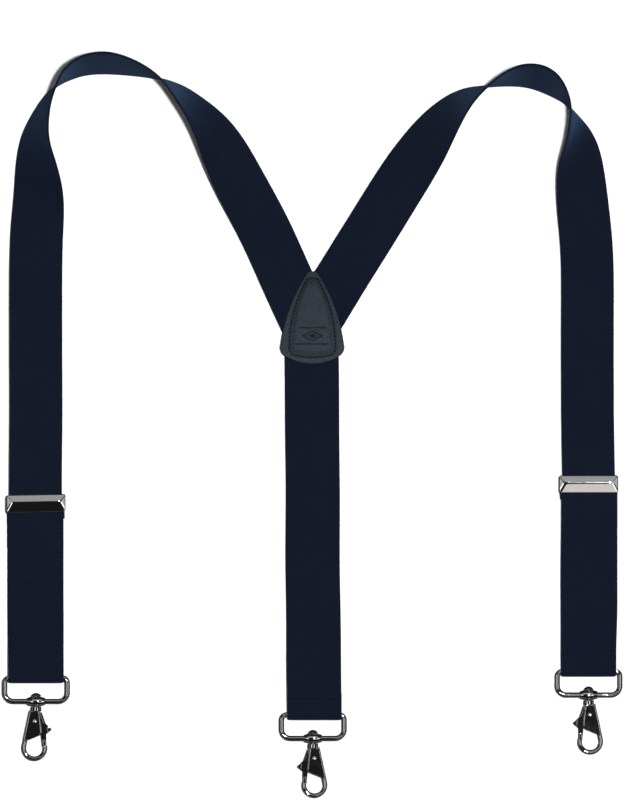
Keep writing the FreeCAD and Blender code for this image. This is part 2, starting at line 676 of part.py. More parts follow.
def gate_spring():
    """A small torsion spring round the rivet: close turns and two straight legs."""
    pivot = hook_point(*PIVOT)
    low = -GATE_THICK / 2 + HUB_THICK + 0.05 + SPRING_WIRE
    turn_pitch = 1.5 * SPRING_WIRE
    coils = []
    for turn in range(3):
        level = Vector(0, 0, low + turn * turn_pitch)
        coils.append(Part.makeTorus(SPRING_RADIUS, SPRING_WIRE, pivot + level))
    side = Vector(SPRING_RADIUS, 0, 0)
    upper_foot = pivot + side + Vector(0, 0, low + 2 * turn_pitch)
    upper_leg = Part.makeCylinder(SPRING_WIRE, 4.0, upper_foot, Vector(0, 1, 0))
    lower_foot = pivot - side + Vector(0, 0, low)
    lower_leg = Part.makeCylinder(SPRING_WIRE, 2.6, lower_foot, Vector(0, -1, 0))
    return coils[0].fuse(coils[1:]).fuse(upper_leg).fuse(lower_leg)


def clip(name, x, wire_y, turned):
    """A loop and its trigger hook. A turned hook is swivelled half a turn, showing its back."""
    place = Vector(x, wire_y, WIRE_LEVEL)
    pieces = {
        "swivel_pin": swivel_pin(),
        "hook_body": hook_body(),
        "gate": gate(),
        "gate_pin": gate_pin(),
        "gate_spring": gate_spring(),
    }
    for piece, shape in pieces.items():
        if turned:
            shape.rotate(Vector(0, 0, 0), Vector(0, 1, 0), 180)
        shape.translate(place)
        save(name + "_" + piece, shape)
    ring = loop()
    ring.translate(place)
    save(name + "_loop", ring)


os.makedirs("parts", exist_ok=True)
front_straps()
folded_strap("left", LEFT_X, LEFT_WIRE_Y, LEFT_SLIDE_Y)
folded_strap("right", RIGHT_X, RIGHT_WIRE_Y, RIGHT_SLIDE_Y)
back_strap()
patch()
slide("left", LEFT_X, LEFT_SLIDE_Y)
slide("right", RIGHT_X, RIGHT_SLIDE_Y)
clip("left", LEFT_X, LEFT_WIRE_Y, True)
clip("right", RIGHT_X, RIGHT_WIRE_Y, False)
clip("back", BACK_X, BACK_WIRE_Y, False)
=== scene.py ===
import json
import math

import bmesh
import bpy
import numpy as np
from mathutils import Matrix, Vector
from mathutils.kdtree import KDTree


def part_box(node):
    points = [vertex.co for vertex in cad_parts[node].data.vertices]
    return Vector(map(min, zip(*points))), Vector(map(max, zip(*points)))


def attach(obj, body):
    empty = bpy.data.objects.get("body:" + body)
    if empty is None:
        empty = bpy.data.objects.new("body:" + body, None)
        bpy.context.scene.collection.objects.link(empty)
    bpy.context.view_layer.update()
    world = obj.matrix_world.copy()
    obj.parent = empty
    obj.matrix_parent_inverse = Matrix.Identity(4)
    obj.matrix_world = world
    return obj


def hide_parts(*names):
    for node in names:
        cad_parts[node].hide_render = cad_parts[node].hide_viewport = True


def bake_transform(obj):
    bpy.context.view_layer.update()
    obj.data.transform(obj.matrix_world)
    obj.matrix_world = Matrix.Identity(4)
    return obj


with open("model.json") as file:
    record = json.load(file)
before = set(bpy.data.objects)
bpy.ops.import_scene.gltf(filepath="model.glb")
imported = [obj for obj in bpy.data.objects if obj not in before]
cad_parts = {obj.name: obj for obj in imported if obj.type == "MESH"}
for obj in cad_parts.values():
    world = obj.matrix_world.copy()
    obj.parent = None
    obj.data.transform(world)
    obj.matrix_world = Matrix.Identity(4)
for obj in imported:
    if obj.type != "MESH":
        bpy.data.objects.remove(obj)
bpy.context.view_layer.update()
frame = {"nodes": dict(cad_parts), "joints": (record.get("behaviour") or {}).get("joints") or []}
nodes = frame["nodes"]
joint_at = {joint["name"]: joint.get("pos_m") for joint in frame["joints"]}

# Suspenders laid flat on their back: metres, +Z up from the table, +Y towards the shoulders.

# Webbing. The MIDDLE values are heights of the middle of its thickness.
STRAP_THICK = 0.0018
WIDTH_LOOSE = 0.0364  # the single layer over the shoulder
WIDTH_DOUBLED = 0.0383  # the doubled part below the slide
WIDTH_BACK = 0.0376
REAR_MIDDLE = 0.0010  # rear layer, below the slide
FRONT_MIDDLE = 0.0066  # front layer, and the back strap near its clip
SHOULDER_MIDDLE = 0.00415  # front straps under the patch
BACK_MIDDLE = 0.0023  # back strap under the patch
LAYER_PLAY = 0.00005  # between layers that lie on each other
FOLD_LENGTH = 0.012  # from the loop's wire up to where the layers meet the turn
FOLD_GAP = 0.00004  # between the layers and the turn, so that their ends never cross
FLAT_TOP_Y = 0.0864  # the flat run ends here and the shoulder loop begins
MIDLINE_GAP = 0.0003  # between the two front straps where they meet under the patch

# The shoulder loops, followed clockwise: X and Y of the strap's middle, height of its outer
# edge, roll in degrees. These are the CAD part's own points.
LEFT_X, RIGHT_X, BACK_X = (joint_at[side + "_loop_swing"][0] for side in ("left", "right", "back"))
RIGHT_SHIFT = -0.0007  # the right strap lies a little off its slide's middle above the slide
LEFT_ROUTE = [
    (LEFT_X, FLAT_TOP_Y, FRONT_MIDDLE, 0),
    (-0.1906, 0.1350, 0.0046, 2),
    (-0.1896, 0.1606, 0.0026, 20),
    (-0.1909, 0.1800, 0.0014, 39),
    (-0.1912, 0.1966, 0.0010, 55),
    (-0.1883, 0.2115, 0.0010, 69),
    (-0.1832, 0.2250, 0.0010, 80),
    (-0.1772, 0.2346, 0.0010, 90),
    (-0.1698, 0.2424, 0.0010, 102),
    (-0.1598, 0.2480, 0.0010, 110),
    (-0.1457, 0.2504, 0.0010, 114),
    (-0.1273, 0.2479, 0.0010, 108),
    (-0.1052, 0.2394, 0.0010, 90),
    (-0.0927, 0.2303, 0.0010, 74),
    (-0.0814, 0.2190, 0.0010, 61),
    (-0.0700, 0.2042, 0.0012, 44),
    (-0.0608, 0.1883, 0.0016, 27),
    (-0.0500, 0.1670, 0.0023, 12),
    (-0.0349, 0.1384, 0.0035, 2),
    (-0.0170, 0.0994, SHOULDER_MIDDLE, 0),
    (-0.0005, 0.0636, SHOULDER_MIDDLE, 0),
]
RIGHT_ROUTE = [
    (-0.0005, 0.0676, SHOULDER_MIDDLE, 0),
    (0.0184, 0.0986, SHOULDER_MIDDLE, 0),
    (0.0436, 0.1391, 0.0035, 1),
    (0.0640, 0.1718, 0.0024, 10),
    (0.0784, 0.1933, 0.0016, 27),
    (0.0874, 0.2060, 0.0012, 41),
    (0.0972, 0.2175, 0.0010, 55),
    (0.1078, 0.2266, 0.0010, 70),
    (0.1218, 0.2344, 0.0010, 90),
    (0.1346, 0.2396, 0.0010, 105),
    (0.1494, 0.2416, 0.0010, 116),
    (0.1636, 0.2372, 0.0010, 116),
    (0.1726, 0.2294, 0.0010, 104),
    (0.1784, 0.2196, 0.0010, 90),
    (0.1818, 0.2080, 0.0010, 73),
    (0.1840, 0.1954, 0.0010, 53),
    (0.1854, 0.1794, 0.0014, 31),
    (0.1872, 0.1540, 0.0028, 11),
    (0.1899, 0.1240, 0.0048, 1),
    (RIGHT_X + RIGHT_SHIFT, FLAT_TOP_Y, FRONT_MIDDLE, 0),
]
LEFT_END = Vector((0.42, -0.907, 0)).normalized()  # way of the left route as it ends
RIGHT_START = Vector((0.528, 0.849, 0)).normalized()  # and of the right one as it starts

# Leather patch. A VIA point is one that the arc between two corners passes through.
LEATHER = 0.0014
PATCH_LOW = 0.0052  # underside of the front leather, where it lies on the straps
PAD_RISE = 0.0012  # how far the pad lifts the middle panel
PATCH_TOP, PATCH_TIP = (0, 0.1062), (0.0049, 0.1030)
PATCH_SIDE_VIA, PATCH_WIDEST = (0.0153, 0.0820), (0.0219, 0.0560)
PATCH_CORNER_VIA, PATCH_CORNER = (0.0217, 0.0510), (0.0186, 0.0474)
PATCH_BOTTOM_Y = 0.0421
SEAM_TOP = (0.0034, 0.1012)
SEAM_SIDE_VIA, SEAM_WIDEST = (0.0112, 0.0840), (0.0160, 0.0550)
SEAM_CORNER_VIA, SEAM_CORNER = (0.0156, 0.0508), (0.0124, 0.0482)
SEAM_BOTTOM_Y = 0.0466
PATCH_CENTRE = (0, 0.0615)
THREAD_RADIUS = 0.00040
STITCH_LENGTH = 0.0017
STITCH_PITCH = 0.0026

# Slide cover, as a pressed plate with hipped ends.
COVER_WALL = 0.0006
COVER_EAVE = 0.0016  # height of its side walls
COVER_RIDGE = 0.0031
COVER_HIP = 0.0042  # length of the sloping ends
COVER_RIDGE_SHARE = 0.60  # how far up the plate the ridge runs
COVER_BEVEL = 0.00060  # radius of its rim
COVER_CORNER = 0.0016  # radius of its corners, seen from above
COVER_SKEW = 0.018  # the left plate sits a little askew: rise towards +Y per length towards +X
COVER_BLEND = 0.00018  # how softly its slopes meet
COVER_COLUMNS, COVER_ROWS = 110, 40


def clamped(value):
    return min(max(value, 0.0), 1.0)


def smoothstep(share):
    return share * share * (3 - 2 * share)


def middle_y(node):
    low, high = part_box(node)
    return (low.y + high.y) / 2


# ---------------------------------------------------------------- materials

class Shader:
    """A node material: makes nodes, joins them and sets the shader's own values."""

    def __init__(self, name):
        self.material = bpy.data.materials.new(name)
        self.material.use_nodes = True
        self.tree = self.material.node_tree
        self.shader = self.tree.nodes["Principled BSDF"]

    def set(self, **values):
        for label, value in values.items():
            self.shader.inputs[label.replace("_", " ")].default_value = value

    def to(self, label, socket):
        self.tree.links.new(socket, self.shader.inputs[label])

    def node(self, kind, inputs=(), **settings):
        made = self.tree.nodes.new("ShaderNode" + kind)
        for label, value in settings.items():
            setattr(made, label, value)
        for label, value in dict(inputs).items():
            if isinstance(value, bpy.types.NodeSocket):
                self.tree.links.new(value, made.inputs[label])
            else:
                made.inputs[label].default_value = value
        return made

    def maths(self, operation, a, b=0.0, c=0.0):
        return self.node("Math", {0: a, 1: b, 2: c}, operation=operation).outputs[0]

    def ramp(self, value, low, high, to_low=0.0, to_high=1.0):
        pairs = {"Value": value, "From Min": low, "From Max": high}
        pairs.update({"To Min": to_low, "To Max": to_high})
        return self.node("MapRange", pairs).outputs["Result"]

    def mix(self, share, a, b):
        """A colour between two. The Mix node's colour sockets are known by number only."""
        made = self.node("Mix", {0: share, 6: a, 7: b}, data_type="RGBA")
        return made.outputs[2]

    def noise(self, scale, detail=2.0, where=None, rough=0.5):
        pairs = {"Scale": scale, "Detail": detail, "Roughness": rough}
        pairs["Vector"] = where or self.place()
        return self.node("TexNoise", pairs).outputs["Fac"]

    def place(self):
        return self.node("TexCoord").outputs["Object"]

    def ridges(self, value, pitch):
        """0 to 1 and back once per pitch, as a half-sine ridge."""
        turned = self.maths("MULTIPLY", value, math.pi / pitch)
        return self.maths("ABSOLUTE", self.maths("SINE", turned))

    def bump(self, height, distance, strength=1.0):
        pairs = {"Height": height, "Distance": distance, "Strength": strength}
        self.to("Normal", self.node("Bump", pairs).outputs["Normal"])


def colour(red, green, blue):
    return (red, green, blue, 1.0)


RIB_PITCH = 0.0011  # between the ribs that run across a strap
WALE_PITCH = 0.0008  # between the threads that run along it


def webbing_material():
    """Navy woven elastic: fine ribs across the strap, crossed by warp wales."""
    made = Shader("navy_webbing")
    uv = made.node("UVMap", uv_map="along_across").outputs["UV"]
    split = made.node("SeparateXYZ", {"Vector": uv})
    along, across = split.outputs["X"], split.outputs["Y"]
    rib = made.ridges(along, RIB_PITCH)
    row = made.maths("FLOOR", made.maths("DIVIDE", along, RIB_PITCH))
    shifted = made.maths("ADD", across, made.maths("MULTIPLY", row, WALE_PITCH / 2))
    wale = made.ridges(shifted, WALE_PITCH)
    fibre = made.noise(scale=2600, detail=3, where=uv, rough=0.7)
    full_rib = made.maths("POWER", rib, 0.6)
    weave = made.maths("MULTIPLY", full_rib, made.ramp(wale, 0, 1, to_low=0.55))
    height = made.maths("MULTIPLY_ADD", fibre, 0.25, weave)
    faded = made.ramp(made.noise(scale=34, detail=4, rough=0.6), 0.35, 0.68)
    blue = made.mix(faded, colour(0.0066, 0.0092, 0.0220), colour(0.0079, 0.0114, 0.0242))
    # Painted shade: the weave's grooves are darker than its ribs.
    groove = made.mix(weave, colour(0.0022, 0.0028, 0.0062), blue)
    lint = made.ramp(made.noise(scale=520, where=uv), 0.74, 0.80, to_high=0.35)
    made.to("Base Color", made.mix(lint, groove, colour(0.022, 0.027, 0.041)))
    made.to("Roughness", made.ramp(fibre, 0.2, 0.8, to_low=0.78, to_high=0.95))
    made.set(Specular_IOR_Level=0.03, Sheen_Weight=0.13, Sheen_Roughness=0.42)
    made.set(Sheen_Tint=colour(0.18, 0.40, 0.80))
    made.bump(height, distance=0.00022, strength=0.9)
    return made.material


PAINTED_LIGHT_FROM_Y, PAINTED_LIGHT_UP_TO_Y = 0.050, 0.100  # painted light: the leather is painted palest below the first, where the light falls


def leather_material(name, tone, lit_and_cloudy_tone):
    """Grained leather: pebbles, fine pores, painted light low down, painted shade where pressed.
    """
    made = Shader(name)
    where = made.place()
    uv = made.node("UVMap", uv_map="along_across").outputs["UV"]
    # Painted shade: the UV's first value darkens the seam's crease and the ornament's grooves.
    pressed = made.node("SeparateXYZ", {"Vector": uv}).outputs["X"]
    upward = made.node("SeparateXYZ", {"Vector": where}).outputs["Y"]
    cells = made.node("TexVoronoi", {"Vector": where, "Scale": 1500.0}, feature="SMOOTH_F1")
    pebble = cells.outputs["Distance"]
    wide = made.noise(scale=190, detail=4, where=where, rough=0.6)
    pores = made.noise(scale=3800, where=where, rough=0.6)
    height = made.maths("MULTIPLY_ADD", pebble, 0.6, made.maths("MULTIPLY", pores, 0.3))
    # Painted light: the low end is painted lighter, standing in for the light that falls there.
    painted_light = made.ramp(upward, PAINTED_LIGHT_FROM_Y, PAINTED_LIGHT_UP_TO_Y, to_low=0.75, to_high=0.0)
    cloudy = made.ramp(wide, 0.30, 0.72, to_low=-0.15, to_high=0.25)
    # worn is the share of the lighter tone: the painted light low down plus clouds of uneven tone.
    worn = made.ramp(made.maths("ADD", painted_light, cloudy), 0.0, 1.0)
    base = made.mix(worn, tone, lit_and_cloudy_tone)
    cleft = made.ramp(pebble, 0.35, 0.75)
    dark = tuple(0.55 * part for part in tone[:3])
    grained = made.mix(cleft, base, colour(*dark))
    made.to("Base Color", made.mix(pressed, grained, colour(0.0045, 0.0060, 0.0080)))
    made.to("Roughness", made.ramp(wide, 0.2, 0.8, to_low=0.42, to_high=0.60))
    made.set(Specular_IOR_Level=0.025)
    made.bump(height, distance=0.00007, strength=0.7)
    return made.material


def thread_material():
    """Twisted black polyester thread."""
    made = Shader("black_thread")
    inputs = {"Vector": made.place(), "Scale": 620.0, "Distortion": 1.5}
    strand = made.node("TexWave", inputs, bands_direction="DIAGONAL").outputs["Fac"]
    shadow, light = colour(0.0010, 0.0012, 0.0018), colour(0.0040, 0.0046, 0.0065)
    made.to("Base Color", made.mix(strand, shadow, light))
    made.to("Roughness", made.ramp(strand, 0, 1, to_low=0.70, to_high=0.50))
    made.set(Specular_IOR_Level=0.06)
    made.bump(strand, distance=0.00008, strength=0.8)
    return made.material


def plated_material(name, tint, smooth, worn, wave):
    """Bright plating: a faint swell from casting, fine handling marks and cloudy gloss.

    smooth and worn are its least and most roughness, and wave is how high the swell is.
    """
    made = Shader(name)
    cloud = made.noise(scale=240, detail=3, rough=0.6)
    marks = made.noise(scale=5200, rough=0.65)
    swell = made.noise(scale=420, detail=1)
    dull = colour(*(0.86 * part for part in tint[:3]))
    made.to("Base Color", made.mix(cloud, tint, dull))
    made.to("Roughness", made.ramp(cloud, 0.3, 0.7, to_low=smooth, to_high=worn))
    made.set(Metallic=1.0)
    height = made.maths("MULTIPLY_ADD", marks, 0.010, swell)
    made.bump(height, distance=wave, strength=0.5)
    return made.material


def board_material():
    """Grey fibre board inside the patch."""
    made = Shader("fibre_board")
    fibres = made.noise(scale=900, detail=4, rough=0.7)
    made.to("Base Color", made.mix(fibres, colour(0.06, 0.06, 0.065), colour(0.14, 0.14, 0.15)))
    made.to("Roughness", made.ramp(fibres, 0, 1, to_low=0.8, to_high=0.95))
    made.bump(fibres, distance=0.0002)
    return made.material


WEBBING = webbing_material()
PATCH_LEATHER = leather_material(
    "charcoal_leather", colour(0.0190, 0.0272, 0.0350), colour(0.0290, 0.0385, 0.0480)
)
THREAD = thread_material()
NICKEL, ZINC = colour(0.74, 0.74, 0.745), colour(0.60, 0.60, 0.605)
CHROME = plated_material("bright_plate", NICKEL, smooth=0.015, worn=0.035, wave=0.00007)
PLATE = plated_material("bright_sheet", NICKEL, smooth=0.02, worn=0.05, wave=0.00001)
STEEL = plated_material("plated_steel", ZINC, smooth=0.14, worn=0.26, wave=0.00004)
BOARD = board_material()


# ---------------------------------------------------------------- mesh helpers

def piece(name, points, faces, material, uv=None, sharp=()):
    """A smooth mesh object. uv holds one (u, v) per face corner; sharp holds vertex pairs."""
    mesh = bpy.data.meshes.new(name)
    mesh.from_pydata([tuple(p) for p in points], [], faces)
    if uv is not None:
        layer = mesh.uv_layers.new(name="along_across")
        layer.data.foreach_set("uv", np.array(uv, np.float32).ravel())
    mesh.polygons.foreach_set("use_smooth", [True] * len(mesh.polygons))
    wanted = {frozenset(pair) for pair in sharp}
    if wanted:
        for edge in mesh.edges:
            edge.use_edge_sharp = frozenset(edge.vertices) in wanted
    mesh.materials.append(material)
    made = bpy.data.objects.new(name, mesh)
    bpy.context.scene.collection.objects.link(made)
    fix_normals(made)
    return made


def fix_normals(made):
    mesh = bmesh.new()
    mesh.from_mesh(made.data)
    bmesh.ops.recalc_face_normals(mesh, faces=mesh.faces)
    mesh.to_mesh(made.data)
    mesh.free()


def clamped_spline(rows, start, end):
    """A smooth curve through rows of numbers, with a parameter that follows its length in XYZ."""
    rows = np.array(rows, float)
    spans = np.linalg.norm(np.diff(rows[:, :3], axis=0), axis=1)
    knots = np.concatenate([[0], np.cumsum(spans)])
    count = len(rows)
    system, right = np.zeros((count, count)), np.zeros_like(rows)
    system[0, 0] = system[-1, -1] = 1
    right[0, :3], right[-1, :3] = start, end
    for i in range(1, count - 1):
        before, after = 1 / spans[i - 1], 1 / spans[i]
        system[i, i - 1 : i + 2] = before, 2 * (before + after), after
        rise, next_rise = rows[i] - rows[i - 1], rows[i + 1] - rows[i]
        right[i] = 3 * (rise * before**2 + next_rise * after**2)
    slopes = np.linalg.solve(system, right)

    def at(t):
        i = min(max(int(np.searchsorted(knots, t)) - 1, 0), count - 2)
        span = spans[i]
        x = (t - knots[i]) / span
        value = (
            (2 * x**3 - 3 * x**2 + 1) * rows[i]
            + (x**3 - 2 * x**2 + x) * span * slopes[i]
            + (3 * x**2 - 2 * x**3) * rows[i + 1]
            + (x**3 - x**2) * span * slopes[i + 1]
        )
        slope = (
            (6 * x**2 - 6 * x) / span * (rows[i] - rows[i + 1])
            + (3 * x**2 - 4 * x + 1) * slopes[i]
            + (3 * x**2 - 2 * x) * slopes[i + 1]
        )
        return value, slope

    return at, knots[-1]


SECTION_STEPS = 22
SECTION_SQUARENESS = 24  # power of the curve that rounds the strap's edges
REAR_FACE_UV = 0.1  # added across on the rear face, so that its weave isn't the front's


def strap_section():
    """Top side of a strap's section: (share across from -1 to 1, share of half thickness)."""
    made = []
    for k in range(SECTION_STEPS + 1):
        side = math.sin(math.pi * (k / SECTION_STEPS - 0.5))
        made.append((side, math.sqrt(max(0.0, 1 - abs(side) ** SECTION_SQUARENESS))))
    return made


def ribbon(name, stations):
    """A strap along stations of (middle, across, face, distance along, width)."""
    section = strap_section()
    top = len(section)
    ring = 2 * top - 2
    points, faces, uv = [], [], []
    for middle, across, face, _, width in stations:
        for side, rise in section:
            points.append(middle + across * (side * width / 2) + face * (rise * STRAP_THICK / 2))
        for side, rise in section[-2:0:-1]:
            points.append(middle + across * (side * width / 2) - face * (rise * STRAP_THICK / 2))
    sides = [side for side, _ in section] + [side for side, _ in section[-2:0:-1]] + [-1]
    for i in range(len(stations) - 1):
        for k in range(ring):
            here, there = i * ring, (i + 1) * ring
            after = (k + 1) % ring
            faces.append((here + k, here + after, there + after, there + k))
            half = stations[i][4] / 2
            lift = 0.0 if k < top - 1 else REAR_FACE_UV
            first, second = sides[k] * half + lift, sides[k + 1] * half + lift
            low, high = stations[i][3], stations[i + 1][3]
            uv += [(low, first), (low, second), (high, second), (high, first)]
    sharp = []
    for start, flip in ((0, True), ((len(stations) - 1) * ring, False)):
        for k in range(top - 1):
            near = [start + k, start + k + 1]
            far = [start + (ring - k - 1) % ring, start + (ring - k) % ring]
            cap = list(dict.fromkeys(near + far))
            cap = cap[::-1] if flip else cap
            faces.append(tuple(cap))
            uv += [(0.0, 0.0)] * len(cap)
        sharp += [(start + k, start + (k + 1) % ring) for k in range(ring)]
    return piece(name, points, faces, WEBBING, uv, sharp)


def path_length(stations):
    return stations[-1][3] - stations[0][3]


# ---------------------------------------------------------------- straps

LOOP_STEP = 0.0028  # between stations of a shoulder loop
FLAT_STEP = 0.0060  # and of a flat run
SIDE_DRIFT, HEIGHT_DRIFT = 0.00016, 0.00010  # how far a flat run wanders
NARROWING = 0.012  # length, centred on the slide, over which the strap changes width
SHIFT_RUN = 0.05  # length above the slide over which the right strap moves across
REAR_BAR_HALF = 0.00065  # half the thickness of the slide's rear bar, with its play
REAR_BAR_OFFSET = 0.001  # from the middle of the strap's turn down to the bar's edge
# The sewn end past that edge: how far down it leaves the bar's level, lies flat and ends.
END_LEVEL, END_DOWN, END_LENGTH = 0.003, 0.008, 0.022
RETURN_DRIFT = {"left": -0.0008, "right": 0.0009}  # the rear layer runs this far across
RETURN_DRIFT_RUN = 0.03


def wander(distance, phase, amount):
    """A slow uneven drift, so that no strap is ruler straight: two waves that don't repeat."""
    slow, fast = 31.0, 73.0  # radians per metre
    waves = math.sin(distance * slow + phase) + 0.6 * math.sin(distance * fast + 2.1 * phase)
    return amount * waves


def shoulder_width(y, slide_y):
    """Stretched narrower over the shoulder than in the doubled part below the slide."""
    share = smoothstep(clamped((slide_y + NARROWING / 2 - y) / NARROWING))
    return WIDTH_LOOSE + (WIDTH_DOUBLED - WIDTH_LOOSE) * share


def route_stations(route, start, end):
    """Stations along a shoulder loop, which leaves and arrives in the given directions."""
    rows = []
    for x, y, height, roll in route:
        rise = WIDTH_LOOSE / 2 * math.sin(math.radians(roll))
        rows.append((x, y, height + rise, roll))
    at, length = clamped_spline(rows, start, end)
    steps = round(length / LOOP_STEP)
    made = []
    for i in range(steps + 1):
        value, slope = at(length * i / steps)
        along = Vector(slope[:3]).normalized()
        level = along.cross(Vector((0, 0, 1))).normalized()
        roll = math.radians(value[3])
        across = level * math.cos(roll) + Vector((0, 0, math.sin(roll)))
        across = (across - along * across.dot(along)).normalized()
        face, distance = across.cross(along), length * i / steps
        made.append((Vector(value[:3]), across, face, distance, WIDTH_LOOSE))
    return made


def flat_stations(x, low_y, phase, slide_y, shift):
    """The flat run of a front strap, moved across by shift above the slide."""
    length = FLAT_TOP_Y - low_y
    steps = round(length / FLAT_STEP)
    made = []
    for i in range(steps + 1):
        y = low_y + length * i / steps
        ease = math.sin(math.pi * i / steps)
        aside = wander(y, phase, SIDE_DRIFT) * ease + shift * clamped((y - slide_y) / SHIFT_RUN)
        middle = Vector((x + aside, y, FRONT_MIDDLE + wander(y, phase + 1, HEIGHT_DRIFT) * ease))
        across, face = Vector((1, 0, 0)), Vector((0, 0, 1))
        made.append((middle, across, face, y - low_y, shoulder_width(y, slide_y)))
    return made


def shifted(stations, distance):
    return [(m, a, f, u + distance, w) for m, a, f, u, w in stations]


def reversed_way(stations):
    """The same strap listed from its other end, with its face kept."""
    last = stations[-1][3]
    return [(m, -a, f, last - u, w) for m, a, f, u, w in stations[::-1]]


def cut_at_midline(made, keep_left):
    """Trims a shoulder strap where it meets the other one under the patch."""
    mesh = bmesh.new()
    mesh.from_mesh(made.data)
    side = -1 if keep_left else 1
    geometry = mesh.verts[:] + mesh.edges[:] + mesh.faces[:]
    cut = bmesh.ops.bisect_plane(
        mesh,
        geom=geometry,
        plane_co=(side * MIDLINE_GAP / 2, 0, 0),
        plane_no=(-side, 0, 0),
        clear_outer=True,
    )
    rim = [e for e in cut["geom_cut"] if isinstance(e, bmesh.types.BMEdge) and e.is_boundary]
    filled = bmesh.ops.holes_fill(mesh, edges=rim)
    for face in filled["faces"]:
        face.smooth = False
    mesh.to_mesh(made.data)
    mesh.free()


def front_strap(side):
    """The front layer, the shoulder loop and the run under the patch, as one ribbon."""
    x, wire_y, _ = joint_at[side + "_loop_swing"]
    low_y = wire_y + FOLD_LENGTH
    slide_y = middle_y(side + "_slide_cover")
    up = Vector((0, 1, 0))
    if side == "left":
        phase, shift = 0.4, 0.0
        loop = route_stations(LEFT_ROUTE, up, LEFT_END)
    else:
        phase, shift = 2.9, RIGHT_SHIFT
        loop = reversed_way(route_stations(RIGHT_ROUTE, RIGHT_START, -up))
    flat = flat_stations(x, low_y + FOLD_GAP, phase, slide_y, shift)
    stations = flat + shifted(loop, path_length(flat))[1:]
    made = ribbon(side + "_strap", stations)
    cut_at_midline(made, side == "left")
    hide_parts(side + "_front_strap", side + "_front_layer")
    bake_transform(made)


def profile_stations(x, profile, width):
    """A strap across X whose middle follows (y, z) points of a profile."""
    made = []
    distance = 0.0
    for i, (y, z) in enumerate(profile):
        before = Vector((0, *profile[max(i - 1, 0)]))
        after = Vector((0, *profile[min(i + 1, len(profile) - 1)]))
        along = (after - before).normalized()
        if i:
            distance += (Vector((0, y, z)) - Vector((0, *profile[i - 1]))).length
        across = Vector((1, 0, 0))
        made.append((Vector((x, y, z)), across, across.cross(along), distance, width))
    return made


def run(start, end, step=FLAT_STEP):
    """Points of a straight or gently stepping run, leaving out the last one."""
    length = math.hypot(end[0] - start[0], end[1] - start[1])
    count = max(1, math.ceil(length / step))
    (y, z), (end_y, end_z) = start, end
    shares = [i / count for i in range(count)]
    return [(y + (end_y - y) * share, z + (end_z - z) * smoothstep(share)) for share in shares]


def turn(y, z, radius, start_deg, end_deg, steps=14):
    """Points of an arc about (y, z)."""
    made = []
    for i in range(steps + 1):
        angle = math.radians(start_deg + (end_deg - start_deg) * i / steps)
        made.append((y + radius * math.cos(angle), z + radius * math.sin(angle)))
    return made


def strap_turn(side):
    """The doubled end round the loop's wire, which travels with the clip."""
    x, wire_y, wire_z = joint_at[side + "_loop_swing"]
    top = wire_y + FOLD_LENGTH
    radius = FRONT_MIDDLE - wire_z
    profile = run((top, FRONT_MIDDLE), (wire_y, FRONT_MIDDLE), step=0.002)
    profile += turn(wire_y, wire_z, radius, 90, 270)
    profile += run((wire_y, REAR_MIDDLE), (top, REAR_MIDDLE), step=0.002)[1:]
    profile.append((top, REAR_MIDDLE))
    stations = profile_stations(x, profile, WIDTH_DOUBLED)
    made = ribbon(side + "_strap_turn", stations)
    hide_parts(side + "_strap_fold")
    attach(made, side + "_fold")


def strap_return(side):
    """The rear layer up to the slide, and its end sewn round the slide's rear bar."""
    x, wire_y, _ = joint_at[side + "_loop_swing"]
    low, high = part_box(side + "_strap_end")
    round_y = high.y - STRAP_THICK - REAR_BAR_HALF
    bar_y = round_y - REAR_BAR_OFFSET
    flap_z = REAR_MIDDLE + 2 * (REAR_BAR_HALF + STRAP_THICK / 2)
    rest_z = REAR_MIDDLE + STRAP_THICK + LAYER_PLAY
    top = wire_y + FOLD_LENGTH
    profile = run((top + FOLD_GAP, REAR_MIDDLE), (round_y, REAR_MIDDLE))
    profile += turn(round_y, (REAR_MIDDLE + flap_z) / 2, (flap_z - REAR_MIDDLE) / 2, -90, 90)
    level_y, down_y, end_y = (bar_y - past for past in (END_LEVEL, END_DOWN, END_LENGTH))
    profile += run((round_y, flap_z), (level_y, flap_z), step=0.001)[1:]
    profile += run((level_y, flap_z), (down_y, rest_z), step=0.0006)
    profile += run((down_y, rest_z), (end_y, rest_z), step=0.002) + [(end_y, rest_z)]
    stations = []
    for middle, *rest in profile_stations(x, profile, WIDTH_DOUBLED):
        aside = RETURN_DRIFT[side] * clamped((middle.y - top) / RETURN_DRIFT_RUN)
        stations.append((middle + Vector((aside, 0, 0)), *rest))
    made = ribbon(side + "_strap_return", stations)
    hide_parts(side + "_return_layer", side + "_strap_end")
    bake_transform(made)


BACK_TOP_Y = 0.086
BACK_RISE_FROM_Y, BACK_RISE_TO_Y = -0.110, -0.186  # between these it climbs to the clip
BACK_TAIL_END_Y = -0.1865
BACK_TAIL_LOW, BACK_TAIL_HIGH = 0.0015, 0.0075  # past the wire, the tail climbs between these
BACK_LEAN = 0.0018  # the back strap runs this far across on its way down
BACK_BEND_LOW_Y, BACK_BEND_RUN = -0.185, 0.22
BACK_DRIFT, BACK_WIDTH_DRIFT = 0.00022, 0.00010


